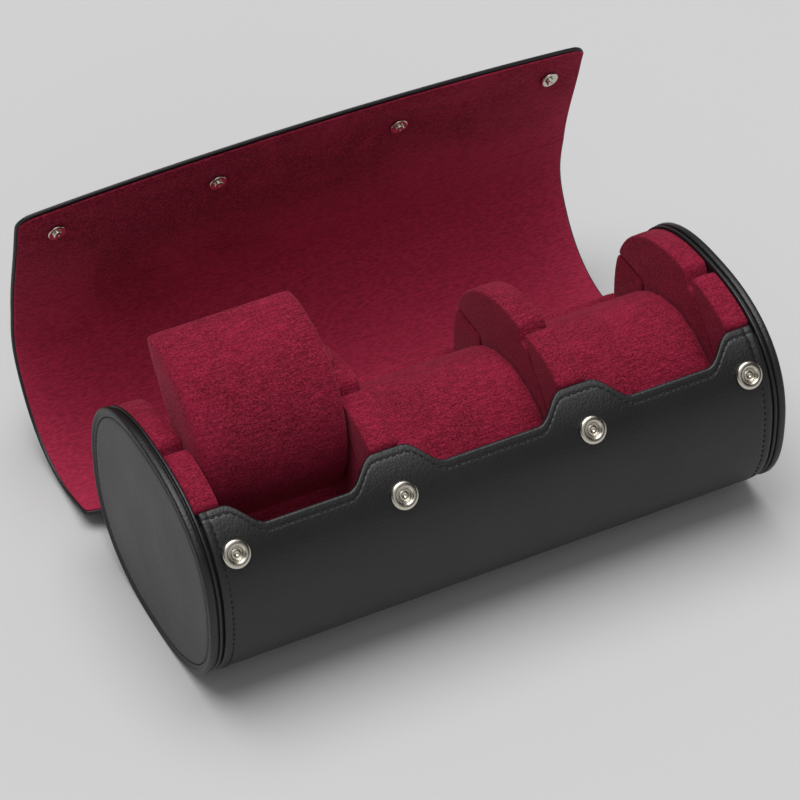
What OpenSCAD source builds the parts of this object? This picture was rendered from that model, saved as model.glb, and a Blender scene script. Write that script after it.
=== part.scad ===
/* Watch travel case: a leather roll with three foam cushions in three wells,
   closed by a wrap-over flap with four ring snaps.
   X runs along the case, Y from its front to its back, Z up. The origin is the
   middle of the flat strip under the case. The flap is drawn laid open behind it. */

/* [Body] */
// Depth of the case from front to back
case_w = 100; // [96:1:110]
// Full height of the oval section before its underside is flattened
case_h = 84; // [80:1:92]
// Squareness of the oval section, 2 is an ellipse
oval_power = 2.4; // [2.2:0.1:2.6]
// Height taken off the underside, so that the case stands
sole_cut = 0.6; // [0.4:0.1:0.8]
// Outer leather thickness
leather_t = 1.4; // [1:0.1:1.6]
// Fibreboard shell thickness
shell_t = 1.8; // [1.4:0.1:2.2]
// Suede lining thickness
lining_t = 1.0; // [0.8:0.1:1.2]
// Groove between the body leather and each end cap
cap_groove = 1.2; // [0.8:0.1:2]
// Arc angle of the front panel's tabs, from the back round over the top
tab_angle = 123; // [121:1:126]
// Height of the front panel's tabs above its low edge
tab_rise = 10; // [6:1:12]
// Length over which the edge falls from a tab to the low edge
tab_slope = 13; // [10:1:14]

/* [Wells] */
// Length of the middle well
middle_well_l = 61.8; // [56:0.1:66]
// Length of each side well
side_well_l = 56.1; // [50:0.1:62]
// Thickness of a divider between two wells
divider_t = 11; // [9:0.5:12]
// Thickness of the padded wall beside each end cap
end_pad_t = 10; // [8.5:0.5:12]
// Inset of the padded walls' rim from the case outline
rim_inset = 1.0; // [0.8:0.1:1.6]
// Width of the seam between the blocks of a divider
seam_w = 0.4; // [0.2:0.1:0.6]
// Thickness of the stiffening board inside a divider
divider_board_t = 3; // [2:0.5:4]
// Height of the foam beds' top over the middle of the section, negative is below
bed_level = -4.4; // [-6:0.1:-4]

/* [End caps] */
// Board thickness of an end cap
cap_board_t = 3.0; // [2:0.5:4]
// Leather thickness on an end cap's face
cap_face_t = 1.0; // [0.8:0.1:1.6]

/* [Cushions] */
// Width of a cushion's flat underside
cushion_w = 74; // [66:1:76]
// Height of a cushion
cushion_h = 27; // [22:1:29]
// Radius of a cushion's long lower edges
cushion_edge_r = 2.5; // [2.3:0.1:3.5]
// Distance of a cushion's middle behind the middle of the case
cushion_back = 1; // [0:0.5:2]
// Free space between a cushion and each wall of its well
cushion_gap = 0.3; // [0.3:0.1:1]
// Free space under a seated cushion
seat_gap = 0.7; // [0.6:0.1:0.9]
// Suede cover thickness
cover_t = 1.0; // [0.8:0.1:1.4]
// Angle at which the raised cushion leans
raise_angle = 57; // [50:1:58]
// Distance of the raised cushion's turning point in front of the middle
raise_front = 27; // [26.8:0.1:27.4]
// Height of the raised cushion's turning point above the middle of the section
raise_up = 26; // [25.8:0.1:26.4]

/* [Flap] */
// Length of the flap along the case beyond each end cap
flap_overhang = 2; // [1:0.5:4]
// Board thickness in the flap
flap_board_t = 0.9; // [0.6:0.1:1.2]
// Free space between the closed flap and the case
flap_gap = 0.5; // [0.5:0.1:1]
// Arc angle of the flap's hinge below the level of the middle at the back
hinge_angle = 30; // [28:1:32]
// Opening angle at the hinge crease
hinge_open = 102; // [98:1:103]
// Opening angle at the bend over the top, negative where the open flap curls in
bend_open = -17; // [-18:1:-12]
// Opening angle at the lip crease
lip_open = 45; // [30:1:50]
// Gap left at each crease between the flap's stiff panels
crease_gap = 0.3; // [0.3:0.1:0.6]
// Arc angle of the lip's middle on the closed case
lip_angle = 168; // [166:1:170]
// How much farther the lip reaches in its middle than at its corners
lip_bow = 7; // [3:1:9]
// Radius of the lip's corners
lip_corner_r = 6; // [4:1:10]

/* [Snaps] */
// Distance of the outer snaps from the middle of the case
outer_snap_x = 99; // [94:0.5:101]
// Arc angle of the snaps on the front panel
snap_angle = 147; // [145:1:149]
// Diameter of a ring socket
socket_d = 10.2; // [9:0.1:11]
// Height of a ring socket
socket_h = 1.85; // [1.7:0.05:2.2]
// Diameter of the hole in a ring socket
socket_hole_d = 4.4; // [4.2:0.1:4.8]
// Diameter of a stud's flange
stud_flange_d = 6.8; // [6:0.1:8]
// Thickness of a stud's flange
stud_flange_t = 0.5; // [0.4:0.1:0.7]
// Diameter of a stud's knob
stud_knob_d = 3.4; // [3:0.1:3.6]
// Diameter of the cap on the outside of the flap
stud_cap_d = 10; // [8:0.5:11]
// Height of the cap on the outside of the flap
stud_cap_h = 1.4; // [1:0.1:1.8]
// Diameter of the rivets and posts through the layers
rivet_d = 3; // [2.4:0.1:3.2]

/* [Hidden] */

black = "#2a2a2c";
board_grey = "#8f8a80";
wine = "#701a2e";
dark_wine = "#4a0a1a";
foam = "#d8cfc0";
nickel = "#d8d4c8";

arc_step = 4;
far = case_w * 2;
fit = 0.2;
hair = 0.02;

axis_z = case_h / 2 - sole_cut;
wall_t = leather_t + shell_t + lining_t;
middle_edge = middle_well_l / 2;
side_edge = middle_edge + divider_t;
end_edge = side_edge + side_well_l;
inner_half = end_edge + end_pad_t;
cap_t = cap_board_t + cap_face_t;
case_half = inner_half + cap_t;
leather_half = inner_half - cap_groove;
flap_half = case_half + flap_overhang;

flap_t = leather_t + flap_board_t + lining_t;
front_gap = socket_h + stud_flange_t + flap_gap;
strip_angle = 20;
bend_angle = 82;
crease_angle = 130;
gap_from = 95;
hinge_a = -hinge_angle;

mid_snap_x = middle_edge + divider_t / 2;
snap_xs = [-outer_snap_x, -mid_snap_x, mid_snap_x, outer_snap_x];
well_starts = [-end_edge, -middle_edge, side_edge];
well_lengths = [side_well_l, middle_well_l, side_well_l];
divider_starts = [-inner_half, -side_edge, middle_edge, end_edge];
divider_lengths = [end_pad_t, divider_t, divider_t, end_pad_t];

// ---- The oval section: points at an arc angle, a distance outside it ----

function signed_pow(v, e) = sign(v) * pow(abs(v), e);
function clamp01(v) = min(1, max(0, v));
function oval_dir(t) = [signed_pow(cos(t), 2 / oval_power), signed_pow(sin(t), 2 / oval_power)];
function oval_pt(t, out) = [(case_w / 2 + out) * oval_dir(t)[0], (case_h / 2 + out) * oval_dir(t)[1]];
function normal_angle(t) = atan2(
    signed_pow(oval_dir(t)[1], oval_power - 1) / case_h,
    signed_pow(oval_dir(t)[0], oval_power - 1) / case_w);
function steps(t0, t1) = ceil(abs(t1 - t0) / arc_step);
function angles(t0, t1) = [for (i = [0:steps(t0, t1)]) t0 + (t1 - t0) * i / steps(t0, t1)];
function arc(t0, t1, out) = [for (t = angles(t0, t1)) oval_pt(t, out)];
function stand(pts) = [for (p = pts) [p[0], max(p[1], -axis_z)]];

// Draws a section, its 2D x along Y and its 2D y along Z, from x0 over a length
module along(x0, length) {
    translate([x0, 0, axis_z])
        rotate([90, 0, 90])
            linear_extrude(length)
                children();
}

// Puts a shape on the oval, its own Z along the outward normal
module on_oval(x, t, out = 0) {
    translate([x, oval_pt(t, out)[0], axis_z + oval_pt(t, out)[1]])
        rotate([normal_angle(t) - 90, 0, 0])
            children();
}

// ---- Body: leather, board shell and lining round the front and underside ----

body_end = 360 + hinge_a;
tab_out_x = end_edge - hair;

// Outline of one low stretch of the front edge, between two tabs
module trough(x0, x1) {
    fall = [for (a = [0:15:180]) [x0 + tab_slope * a / 180, -tab_rise * (1 - cos(a)) / 2]];
    rise = [for (a = [180:-15:0]) [x1 - tab_slope * a / 180, -tab_rise * (1 - cos(a)) / 2]];
    polygon(concat(fall, rise, [[x1, tab_rise], [x0, tab_rise]]));
}

// Cuts the front panel's edge down between its tabs, through all its layers
module front_edge_cut() {
    on_oval(0, tab_angle)
        rotate([(normal_angle(tab_angle + strip_angle / 2) - normal_angle(tab_angle)), 0, 0])
            translate([0, 0, -2 * wall_t])
                linear_extrude(4 * wall_t) {
                    trough(-tab_out_x, -side_edge);
                    trough(-middle_edge, middle_edge);
                    trough(side_edge, tab_out_x);
                }
}

module body_layer(half, out, inner) {
    difference() {
        along(-half, 2 * half)
            polygon(stand(concat(arc(tab_angle, body_end, out), arc(body_end, tab_angle, inner))));
        front_edge_cut();
        children();
    }
}

// A hole along each snap's axis, between two heights over the front panel
module snap_holes(d, low, high) {
    for (x = snap_xs)
        on_oval(x, snap_angle)
            translate([0, 0, low])
                cylinder(d = d, h = high - low, $fn = 48);
}

rivet_foot_t = 0.6;
rivet_head_t = 0.4;
rivet_foot_d = rivet_d + 4;
rivet_bore = rivet_d + fit;

module body_leather() {
    color(black)
        body_layer(leather_half, 0, -leather_t)
            snap_holes(rivet_bore, -wall_t, wall_t);
}

module body_shell() {
    color(board_grey)
        body_layer(inner_half, -leather_t, -leather_t - shell_t) {
            snap_holes(rivet_bore, -wall_t, wall_t);
            snap_holes(rivet_foot_d + fit, -2 * wall_t, rivet_foot_level + fit);
        }
}

module body_lining() {
    color(wine)
        body_layer(inner_half, -leather_t - shell_t, -wall_t);
}

// ---- End caps: an oval board in a leather cup ----

module end_cap_board(side) {
    color(board_grey)
        along(side > 0 ? inner_half : -inner_half - cap_board_t, cap_board_t)
            polygon(arc(0, 360 - arc_step, -leather_t));
}

module end_cap_leather(side) {
    color(black)
        difference() {
            along(side > 0 ? inner_half : -case_half, cap_t)
                polygon(stand(arc(0, 360 - arc_step, 0)));
            end_cap_board(side);
        }
}

// ---- Dividers: padded walls, each of three sewn blocks on a board ----

rim_blend = 18;
edge_gap_angle = 1;
front_seam_top = -1;
front_seam_lean = 48.7;
back_seam_y = 28;
back_seam_z = 15;
notch_w = 7.5;
notch_depth = 5;
board_margin = 4;
board_foot_z = -20;

function rim_at(t) = let (k = clamp01((t - hinge_a) / rim_blend)) (wall_t + fit) * (1 - k) + rim_inset * k;

// Section of everything that fills the case: its rim stands free at the back and top
module pad_outline() {
    exposed = [for (t = angles(tab_angle - edge_gap_angle, hinge_a + 1)) oval_pt(t, -rim_at(t))];
    inside = [for (t = angles(body_end, tab_angle)) oval_pt(t, -wall_t - fit)];
    polygon(concat(exposed, inside));
}

// Everything in front of the sloping seam, moved by a distance
module front_side(shift) {
    translate([front_seam_top, case_h / 2 - rim_inset])
        rotate(front_seam_lean - 90)
            translate([-far - shift, -far])
                square([far, 2 * far]);
}

// Everything below and behind the level seam, made smaller by a distance
module back_side(shift) {
    translate([back_seam_y + shift, -far])
        square([far, far + back_seam_z - shift]);
}

// The two nicks where the seams reach the rim
module nicks() {
    translate([front_seam_top, case_h / 2])
        polygon([[-notch_w / 2, 1], [notch_w / 2, 1], [0, -notch_depth - rim_inset]]);
    translate([case_w / 2 - notch_depth * 2, back_seam_z])
        polygon([[0, 0], [notch_w, notch_depth * 1.7], [notch_depth * 3, 0]]);
}

// The stiffening board inside divider i, made larger all round by a distance
module divider_board(i, grow) {
    mid = divider_starts[i - 1] + divider_lengths[i - 1] / 2;
    along(mid - divider_board_t / 2 - grow, divider_board_t + 2 * grow)
        difference() {
            intersection() {
                polygon(arc(0, 360 - arc_step, grow - wall_t - board_margin));
                translate([-far, board_foot_z - grow])
                    square([2 * far, far]);
            }
            front_side(grow - board_margin);
            back_side(grow - board_margin);
        }
}

module divider_plate(i) {
    color(wine)
        difference() {
            along(divider_starts[i - 1], divider_lengths[i - 1])
                difference() {
                    pad_outline();
                    front_side(-seam_w / 2);
                    back_side(-seam_w / 2);
                    nicks();
                }
            divider_board(i, fit / 2);
        }
}

module divider_front(i) {
    color(wine)
        along(divider_starts[i - 1], divider_lengths[i - 1])
            difference() {
                intersection() {
                    pad_outline();
                    front_side(seam_w / 2);
                }
                nicks();
            }
}

module divider_back(i) {
    color(wine)
        along(divider_starts[i - 1], divider_lengths[i - 1])
            difference() {
                intersection() {
                    pad_outline();
                    back_side(seam_w / 2);
                }
                nicks();
            }
}

module divider_boards() {
    color(board_grey)
        for (i = [1:4])
            divider_board(i, 0);
}

// ---- Beds: foam blocks that fill the wells' lower half ----

module bed(i) {
    color(wine)
        along(well_starts[i - 1], well_lengths[i - 1])
            intersection() {
                pad_outline();
                translate([-far, bed_level - far])
                    square([2 * far, far]);
            }
}

// ---- Cushions: D-shaped rolls, the first one raised on its front edge ----

cushion_z = bed_level + seat_gap;
cushion_r = (pow(cushion_w / 2, 2) + pow(cushion_h, 2)) / (2 * cushion_h);
core_gap = 0.1;
crown_z = cushion_z + cushion_h - cushion_r;
edge_z = cushion_z + cushion_edge_r;
edge_angle = asin((edge_z - crown_z) / (cushion_r - cushion_edge_r));
edge_y = (cushion_r - cushion_edge_r) * cos(edge_angle);

function turn(y, z, r, a0, a1) = [for (a = angles(a0, a1)) [y + r * cos(a), z + r * sin(a)]];

// A cushion in place in its well, made smaller all round by an inset
module cushion_block(i, inset) {
    r = cushion_edge_r - inset;
    along(well_starts[i - 1] + cushion_gap + inset, well_lengths[i - 1] - 2 * (cushion_gap + inset))
        translate([cushion_back, 0])
            polygon(concat(
                turn(edge_y, edge_z, r, -90, edge_angle - arc_step),
                turn(0, crown_z, cushion_r - inset, edge_angle, 180 - edge_angle),
                turn(-edge_y, edge_z, r, 180 - edge_angle + arc_step, 270)));
}

module as_placed(i) {
    if (i == 1)
        translate([0, -raise_front, axis_z + raise_up])
            rotate([raise_angle, 0, 0])
                translate([0, raise_front, -axis_z - raise_up])
                    children();
    else
        children();
}

module cushion_cover(i) {
    color(wine)
        as_placed(i)
            difference() {
                cushion_block(i, 0);
                cushion_block(i, cover_t);
            }
}

module cushion_core(i) {
    color(foam)
        as_placed(i)
            cushion_block(i, cover_t + core_gap);
}

// ---- Snaps: ring sockets on the front panel, studs and caps on the flap's lip ----

rivet_foot_level = -leather_t - shell_t + rivet_foot_t;
socket_floor_t = 0.4;
stud_seat = 0.45;
post_d = rivet_d - 0.4;
lining_level = front_gap * (oval_dir(snap_angle) * [cos(normal_angle(snap_angle)), sin(normal_angle(snap_angle))]);
flap_out_level = lining_level + flap_t * lining_level / front_gap;
knob_h = lining_level - stud_seat - stud_flange_t - socket_floor_t - rivet_head_t - fit;

// A solid turned about its own Z from a half profile
module turned(profile) {
    rotate_extrude($fn = 48)
        polygon(profile);
}

module snap_sockets() {
    r = socket_d / 2;
    hole = socket_hole_d / 2;
    color(nickel)
        for (x = snap_xs)
            on_oval(x, snap_angle, hair)
                turned([[rivet_bore / 2, 0], [r - 0.3, 0], [r, 0.3], [r, socket_h * 0.55], [r - 0.5, socket_h * 0.85],
                    [r - 1.3, socket_h], [hole + 0.6, socket_h], [hole, socket_h * 0.7],
                    [hole, socket_floor_t], [rivet_bore / 2, socket_floor_t]]);
}

module socket_rivets() {
    foot = rivet_foot_level;
    head = hair + socket_floor_t;
    color(nickel)
        for (x = snap_xs)
            on_oval(x, snap_angle)
                turned([[0, foot - rivet_foot_t + fit], [rivet_foot_d / 2, foot - rivet_foot_t + fit],
                    [rivet_foot_d / 2, foot], [rivet_d / 2, foot], [rivet_d / 2, head],
                    [socket_hole_d / 2 - fit, head], [rivet_d / 2, head + rivet_head_t], [0, head + rivet_head_t]]);
}

// Turns a part of the closed flap about a crease that lies a depth under its outer face
module swing(t, angle, depth = 0) {
    crease = oval_pt(t, flap_out(t) - depth);
    translate([0, crease[0], axis_z + crease[1]])
        rotate([-angle, 0, 0])
            translate([0, -crease[0], -axis_z - crease[1]])
                children();
}

// Lays part 1, 2 or 3 of the closed flap open behind the case
module opened(part) {
    swing(hinge_a, hinge_open)
        if (part == 1) {
            children();
        } else {
            swing(bend_angle, bend_open, flap_t)
                if (part == 2) {
                    children();
                } else {
                    swing(crease_angle, lip_open)
                        children();
                }
        }
}

module snap_studs() {
    knob = stud_knob_d / 2;
    flange = stud_flange_d / 2;
    color(nickel)
        opened(3)
            for (x = snap_xs)
                on_oval(x, snap_angle)
                    translate([0, 0, lining_level - stud_seat])
                        mirror([0, 0, 1])
                            turned([[0, 0], [flange, 0], [flange, stud_flange_t * 0.6], [flange - 0.4, stud_flange_t],
                                [knob * 0.85, stud_flange_t], [knob, stud_flange_t + knob_h * 0.6],
                                [knob * 0.7, stud_flange_t + knob_h], [0, stud_flange_t + knob_h]]);
}

module stud_caps() {
    r = stud_cap_d / 2;
    base = flap_out_level + hair;
    color(nickel)
        opened(3)
            for (x = snap_xs)
                on_oval(x, snap_angle)
                    turned([[0, lining_level - stud_seat], [post_d / 2, lining_level - stud_seat], [post_d / 2, base],
                        [r, base], [r, base + stud_cap_h * 0.4], [r * 0.75, base + stud_cap_h * 0.85],
                        [r * 0.4, base + stud_cap_h], [0, base + stud_cap_h]]);
}

// ---- Flap: leather, board and lining in three panels with creases between ----

crease_half = crease_gap / case_w * 180 / PI;
part_from = [hinge_a, bend_angle, crease_angle];
part_to = [bend_angle, crease_angle, lip_angle];

function gap_at(t) = flap_gap + (front_gap - flap_gap) * clamp01((t - gap_from) / (snap_angle - gap_from));
function lift_at(t) = clamp01((t - hinge_a) / strip_angle);
function flap_out(t) = (gap_at(t) + flap_t) * lift_at(t);

// A layer of the closed flap between two arc angles, from a depth under its outer face to another;
// sink is how much deeper it lies by the time the strip meets the stiff panel
module flap_layer(half, t0, t1, top, bottom, sink = 0) {
    function sunk(t) = sink * clamp01(2 * (t - hinge_a) / strip_angle - 1);
    outer = [for (t = angles(t0, t1)) oval_pt(t, flap_out(t) - top - sunk(t))];
    inner = [for (t = angles(t1, t0)) oval_pt(t, flap_out(t) - bottom - sunk(t))];
    along(-half, 2 * half)
        polygon(concat(outer, inner));
}

function corner_cut(a) = lip_corner_r * (1 - cos(a));
function bow_at(x) = lip_bow * pow(x / flap_half, 2);

// Cuts the bowed lip and its two round corners
module lip_cut() {
    straight = flap_half - lip_corner_r;
    right = [for (a = [0:15:90]) let (x = straight + lip_corner_r * sin(a)) [x, bow_at(x) + corner_cut(a)]];
    left = [for (a = [90:-15:0]) let (x = straight + lip_corner_r * sin(a)) [-x, bow_at(x) + corner_cut(a)]];
    middle = [for (k = [-9:9]) let (x = straight * k / 10) [x, bow_at(x)]];
    beyond = flap_half + lip_corner_r;
    on_oval(0, lip_angle)
        translate([0, 0, -flap_t])
            linear_extrude(4 * flap_t)
                polygon(concat(left, middle, right, [[beyond, lip_corner_r + lip_bow], [beyond, -far / 4],
                    [-beyond, -far / 4], [-beyond, lip_corner_r + lip_bow]]));
}

module flap_panel(part, top, bottom) {
    t0 = part_from[part - 1] + crease_half;
    t1 = part_to[part - 1] - (part < 3 ? crease_half : 0);
    opened(part)
        difference() {
            flap_layer(flap_half, part == 1 ? hinge_a + strip_angle : t0, t1, top, bottom);
            if (part == 3) {
                lip_cut();
                snap_holes(post_d + fit, 0, flap_out_level + flap_t);
            }
        }
}

// The narrow strip that joins the flap to the body between the end caps
module hinge_strip(top, bottom, sink = 0) {
    opened(1)
        flap_layer(leather_half, hinge_a + crease_half, hinge_a + strip_angle, top, bottom, sink);
}

module flap_leather(part) {
    color(black) {
        flap_panel(part, 0, leather_t);
        if (part == 1)
            hinge_strip(0, leather_t);
    }
}

module flap_board(part) {
    color(board_grey)
        flap_panel(part, leather_t, leather_t + flap_board_t);
}

module flap_lining(part) {
    color(dark_wine) {
        flap_panel(part, leather_t + flap_board_t, flap_t);
        if (part == 1)
            hinge_strip(leather_t, leather_t + lining_t, flap_board_t);
    }
}

body_leather();
body_shell();
body_lining();
end_cap_leather(-1);  // end_cap_leather_left
end_cap_leather(1);  // end_cap_leather_right
end_cap_board(-1);  // end_cap_board_left
end_cap_board(1);  // end_cap_board_right
divider_plate(1);  // divider_1_plate
divider_front(1);  // divider_1_front
divider_back(1);  // divider_1_back
divider_plate(2);  // divider_2_plate
divider_front(2);  // divider_2_front
divider_back(2);  // divider_2_back
divider_plate(3);  // divider_3_plate
divider_front(3);  // divider_3_front
divider_back(3);  // divider_3_back
divider_plate(4);  // divider_4_plate
divider_front(4);  // divider_4_front
divider_back(4);  // divider_4_back
divider_boards();
bed(1);  // bed_1
bed(2);  // bed_2
bed(3);  // bed_3
cushion_cover(1);  // cushion_1_cover
cushion_cover(2);  // cushion_2_cover
cushion_cover(3);  // cushion_3_cover
cushion_core(1);  // cushion_1_core
cushion_core(2);  // cushion_2_core
cushion_core(3);  // cushion_3_core
snap_sockets();
socket_rivets();
snap_studs();
stud_caps();
flap_leather(1);  // flap_leather_1
flap_leather(2);  // flap_leather_2
flap_leather(3);  // flap_leather_3
flap_board(1);  // flap_board_1
flap_board(2);  // flap_board_2
flap_board(3);  // flap_board_3
flap_lining(1);  // flap_lining_1
flap_lining(2);  // flap_lining_2
flap_lining(3);  // flap_lining_3
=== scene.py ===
import math

import bmesh
import bpy
import numpy as np
from mathutils import Matrix, Vector


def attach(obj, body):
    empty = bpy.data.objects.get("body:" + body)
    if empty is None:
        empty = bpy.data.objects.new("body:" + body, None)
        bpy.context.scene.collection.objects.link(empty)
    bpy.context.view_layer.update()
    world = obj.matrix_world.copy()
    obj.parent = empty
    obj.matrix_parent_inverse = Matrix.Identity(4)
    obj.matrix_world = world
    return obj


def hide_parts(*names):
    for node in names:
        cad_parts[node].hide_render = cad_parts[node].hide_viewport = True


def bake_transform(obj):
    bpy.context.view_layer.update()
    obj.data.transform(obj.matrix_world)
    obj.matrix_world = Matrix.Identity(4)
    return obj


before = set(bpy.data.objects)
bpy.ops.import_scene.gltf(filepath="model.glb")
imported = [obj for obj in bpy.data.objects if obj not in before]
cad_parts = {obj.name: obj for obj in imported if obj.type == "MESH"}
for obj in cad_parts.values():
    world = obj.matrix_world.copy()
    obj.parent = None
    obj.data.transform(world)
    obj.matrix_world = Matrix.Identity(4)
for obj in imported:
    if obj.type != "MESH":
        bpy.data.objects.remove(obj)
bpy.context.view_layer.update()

# ---- Table and light ----
# The case lies open on a seamless pale grey table in a product studio. The table is a
# matt painted sweep that runs far past the picture, lit by one very large soft box
# overhead and a weak one in front.

TABLE_GREY = "#cfcfcf"
TABLE_SIZE = 12.0                       # metres
AIR_GLOW = 0.22                         # light that the studio's walls give back


def linear(hex_value):
    """A colour written as the eye sees it, turned to the linear one that the light needs."""
    parts = [int(hex_value[i:i + 2], 16) / 255 for i in (1, 3, 5)]
    return tuple(p / 12.92 if p <= 0.04045 else ((p + 0.055) / 1.055) ** 2.4 for p in parts) + (1.0,)


def add(tree, kind, inputs=None, **settings):
    """Adds one node. An input takes a plain value, a node's output, or a node, by which the
    first of its outputs that is in use is meant."""
    made = tree.nodes.new(kind)
    for name, value in settings.items():
        setattr(made, name, value)
    for name, value in (inputs or {}).items():
        if isinstance(value, bpy.types.Node):
            value = next(output for output in value.outputs if output.enabled)
        if isinstance(value, bpy.types.NodeSocket):
            tree.links.new(value, made.inputs[name])
        else:
            made.inputs[name].default_value = value
    return made


def new_finish(name):
    """A new material, its emptied node tree and the object's own coordinates."""
    made = bpy.data.materials.new(name)
    made.use_nodes = True
    tree = made.node_tree
    tree.nodes.clear()
    place = add(tree, "ShaderNodeTexCoord").outputs["Object"]
    return made, tree, place


painted, tree, place = new_finish("matt_painted_table")
# Matt paint: no gloss to speak of, and a very faint cloudiness from the roller, in clouds
# a third of a metre wide.
cloud = add(tree, "ShaderNodeTexNoise", {"Vector": place, "Scale": 3.0, "Detail": 2.0})
tone = add(tree, "ShaderNodeMix", {"Factor": cloud, "A": linear("#cecece"), "B": linear("#d0d0d0")},
           data_type="RGBA")
paint = add(tree, "ShaderNodeBsdfPrincipled", {"Base Color": tone, "Roughness": 0.95,
                                               "Specular IOR Level": 0.1})
add(tree, "ShaderNodeOutputMaterial", {"Surface": paint})

bpy.ops.mesh.primitive_plane_add(size=TABLE_SIZE, location=(0, TABLE_SIZE / 8, 0))
table = bpy.context.object
table.name = "studio_table"
table.data.materials.append(painted)

world = bpy.data.worlds.new("studio_air")
bpy.context.scene.world = world
world.use_nodes = True
tree = world.node_tree
tree.nodes.clear()
light_path = add(tree, "ShaderNodeLightPath")
looked = add(tree, "ShaderNodeMath", {0: light_path.outputs["Is Camera Ray"],
                                      1: light_path.outputs["Is Transmission Ray"]}, operation="MAXIMUM")
seen = add(tree, "ShaderNodeMath", {0: looked, 1: light_path.outputs["Is Glossy Ray"]},
           operation="MAXIMUM")
air = add(tree, "ShaderNodeBackground", {"Color": linear("#ffffff"), "Strength": AIR_GLOW})
# The backdrop is as pale as the table and ends a little above it, where the direction's Z
# is 0.06 to 0.22. Over it the room is dark up to the edge of the soft box overhead.
sky = add(tree, "ShaderNodeTexCoord").outputs["Generated"]
height = add(tree, "ShaderNodeSeparateXYZ", {"Vector": sky}).outputs["Z"]
paper = add(tree, "ShaderNodeMapRange", {"Value": height, "From Min": 0.06, "From Max": 0.22,
                                         "To Min": 1.0, "To Max": 0.03})
box_edge = add(tree, "ShaderNodeMapRange", {"Value": height, "From Min": 0.7, "From Max": 0.9,
                                            "To Min": 0.0, "To Max": 1.5})
shown = add(tree, "ShaderNodeMath", {0: paper, 1: box_edge})
backdrop = add(tree, "ShaderNodeBackground", {"Color": linear(TABLE_GREY), "Strength": shown})
both = add(tree, "ShaderNodeMixShader", {0: seen, 1: air, 2: backdrop})
add(tree, "ShaderNodeOutputWorld", {"Surface": both})


def soft_lamp(name, shines_from, spread, strength):
    """A far soft box: even light from one side, with the soft shadows of a wide source."""
    lamp = bpy.data.lights.new(name, "SUN")
    lamp.angle, lamp.energy = math.radians(spread), strength
    box = bpy.data.objects.new(name, lamp)
    bpy.context.scene.collection.objects.link(box)
    box.rotation_euler = (-Vector(shines_from)).to_track_quat("-Z", "Y").to_euler()


soft_lamp("top_box", (-0.08, 0.15, 1.0), 55, 2.4)
soft_lamp("front_box", (-0.2, -1.0, 0.75), 60, 0.3)

# A long lens on a stand 1.3 m away, 27 degrees to the left of the case and 42 degrees up.
LENS, FILM_WIDTH = 167.8, 36.0
STAND = (-0.4554, -0.8623, 0.9271)
camera = bpy.data.objects.new("camera", bpy.data.cameras.new("camera"))
bpy.context.scene.collection.objects.link(camera)
camera.data.lens, camera.data.sensor_width = LENS, FILM_WIDTH
camera.data.clip_start, camera.data.clip_end = 0.05, 30.0
camera_right = Vector((0.8909, -0.4542, 0.0))
camera_up = Vector((0.3016, 0.5917, 0.7476))
camera_back = camera_right.cross(camera_up)
camera.matrix_world = Matrix.Translation(STAND) @ Matrix(
    (camera_right, camera_up, camera_back)).transposed().to_4x4()
bpy.context.scene.camera = camera
bpy.context.scene.view_settings.view_transform = "Standard"

# ---- Leather of the body ----
# One piece of smooth black cowhide wraps the front, the underside and the low back of a
# fibreboard shell. It is turned over the shell's front edge, which waves up to four tabs
# for the snaps, and a row of stitches holds the turned edge down.

CASE_W, CASE_H = 100.0, 84.0            # the oval section, mm
OVAL_POWER = 2.4
AXIS_Z = 41.4                           # height of the oval's middle over the table
LEATHER_T, SHELL_T, LINING_T = 1.4, 1.8, 1.0
WALL_T = LEATHER_T + SHELL_T + LINING_T
LEATHER_HALF = 106.8                    # half the body leather's length
TAB_ANGLE = 123.0                       # where the tabs end, from the back round over the top
BODY_END = 330.0                        # where the leather ends at the hinge
TAB_RISE, TAB_SLOPE = 10.0, 13.0        # the edge between two tabs: its depth and its slopes' length
TROUGHS = ((-97.98, -41.9), (-30.9, 30.9), (41.9, 97.98))


def powered(v, e):
    """A power that keeps the sign, for the four quarters of the squared oval."""
    return np.sign(v) * np.abs(v) ** e


def oval(angle, out=0.0):
    """Point (y, z) in mm on the case's oval section, a distance outside it."""
    a = np.radians(np.asarray(angle, float))
    out = np.asarray(out, float)
    y = (CASE_W / 2 + out) * powered(np.cos(a), 2 / OVAL_POWER)
    z = (CASE_H / 2 + out) * powered(np.sin(a), 2 / OVAL_POWER)
    return np.stack(np.broadcast_arrays(y, z + AXIS_Z), -1)


def outward(angle):
    """Unit normal (y, z) of the oval at an arc angle."""
    a = np.radians(np.asarray(angle, float))
    y = powered(powered(np.cos(a), 2 / OVAL_POWER), OVAL_POWER - 1) / CASE_W
    z = powered(powered(np.sin(a), 2 / OVAL_POWER), OVAL_POWER - 1) / CASE_H
    n = np.stack([y, z], -1)
    return n / np.linalg.norm(n, axis=-1, keepdims=True)


def on_table(points):
    """Keeps points from going under the table."""
    points[..., 2] = np.maximum(points[..., 2], 0.0)
    return points


def section_points(x, yz):
    """Joins an x for each row with (y, z) points."""
    x = np.broadcast_to(np.asarray(x, float), yz.shape[:-1])
    return np.concatenate([x[..., None], yz], -1)


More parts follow.
